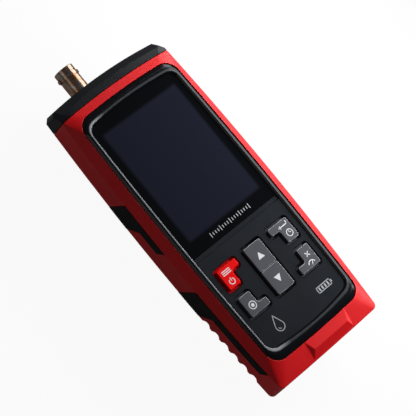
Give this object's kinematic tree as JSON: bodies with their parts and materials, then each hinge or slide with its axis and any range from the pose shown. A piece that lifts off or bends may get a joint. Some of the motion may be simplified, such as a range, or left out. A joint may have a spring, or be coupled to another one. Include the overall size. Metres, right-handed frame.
{
  "type": "handheld ph meter",
  "caption": "Handheld pH meter with a tapered two-part case, raised frame round display and keys, bayonet electrode socket and sliding battery door.",
  "frame": {"origin": "middle of the overall box, on the flat back that the meter lies on", "axes": "+Z out of the face, +Y along the body towards the sockets, +X across the face to the right"},
  "size_m": [0.07, 0.1688, 0.034],
  "materials": {
    "red_housing": "fine texture, moulded",
    "black_cap": "fine texture, moulded",
    "black_frame": "satin, moulded",
    "black_lens": "glossy acrylic, printed on its back",
    "keypad_panel": "fine texture, moulded",
    "grey_key": "satin, moulded",
    "red_key": "satin, moulded",
    "grip_rubber": "soft, matte",
    "silicone": "matte",
    "foam_black": "matte",
    "steel": "turned",
    "nickel": "turned and nickel plated",
    "gilt": "plated",
    "white_insulator": "smooth",
    "circuit_board": "lacquered laminate",
    "chip_black": "moulded",
    "display_glass": "dark liquid-crystal cell",
    "white_plastic": "moulded",
    "amber_film": "polyimide film",
    "black_plastic": "moulded",
    "cell_jacket": "printed film, bare"
  },
  "bodies": {
    "housing": {"battery_cell_left": "cell_jacket", "battery_cell_middle": "cell_jacket", "battery_cell_right": "cell_jacket", "battery_contacts": "steel", "battery_holder": "black_plastic", "battery_springs": "steel", "board_components": "chip_black", "board_header": "black_plastic", "board_screws": "steel", "buzzer": "black_plastic", "case_screws": "steel", "display_backlight": "white_plastic", "display_bracket": "black_plastic", "display_flex": "amber_film", "display_foam": "foam_black", "display_lens": "black_lens", "display_panel": "display_glass", "dome_switches": "steel", "electrode_socket_contact": "gilt", "electrode_socket_insulator": "white_insulator", "electrode_socket_nut": "nickel", "electrode_socket_seal": "foam_black", "electrode_socket_shell": "nickel", "electrode_socket_washer": "steel", "front_frame": "black_frame", "front_shell": "red_housing", "grip_inlay_left_lower": "grip_rubber", "grip_inlay_left_upper": "grip_rubber", "grip_inlay_right_lower": "grip_rubber", "grip_inlay_right_upper": "grip_rubber", "input_board": "circuit_board", "keypad_mat": "silicone", "keypad_plate": "keypad_panel", "lens_tape": "foam_black", "main_board": "circuit_board", "probe_socket": "black_plastic", "probe_socket_pins": "gilt", "rear_shell": "red_housing", "rocker_pin": "steel", "top_cap": "black_cap"},
    "key_menu_power": {"key_menu_power": "red_key"},
    "key_record": {"key_record": "grey_key"},
    "key_enter": {"key_enter": "grey_key"},
    "key_delete_measure": {"key_delete_measure": "grey_key"},
    "rocker": {"rocker_up_down": "grey_key"},
    "battery_door": {"battery_door": "black_cap"}
  },
  "joints": [
    {"name": "key_menu_power_press", "type": "slide", "parent": "housing", "child": "key_menu_power", "axis": [0, 0, -1], "range_m": [0, 0.0009], "stiffness_N_per_m": 900, "springref_m": -0.0002},
    {"name": "key_record_press", "type": "slide", "parent": "housing", "child": "key_record", "axis": [0, 0, -1], "range_m": [0, 0.0009], "stiffness_N_per_m": 900, "springref_m": -0.0002},
    {"name": "key_enter_press", "type": "slide", "parent": "housing", "child": "key_enter", "axis": [0, 0, -1], "range_m": [0, 0.0009], "stiffness_N_per_m": 900, "springref_m": -0.0002},
    {"name": "key_delete_measure_press", "type": "slide", "parent": "housing", "child": "key_delete_measure", "axis": [0, 0, -1], "range_m": [0, 0.0009], "stiffness_N_per_m": 900, "springref_m": -0.0002},
    {"name": "rocker_tilt", "type": "hinge", "parent": "housing", "child": "rocker", "pos_m": [0, -0.03957, 0.0295], "axis": [1, 0, 0], "range_deg": [-3.5, 3.5], "stiffness_Nm_per_rad": 0.08},
    {"name": "battery_door_slide", "type": "slide", "parent": "housing", "child": "battery_door", "axis": [0, -1, 0], "range_m": [0, 0.012]}
  ]
}
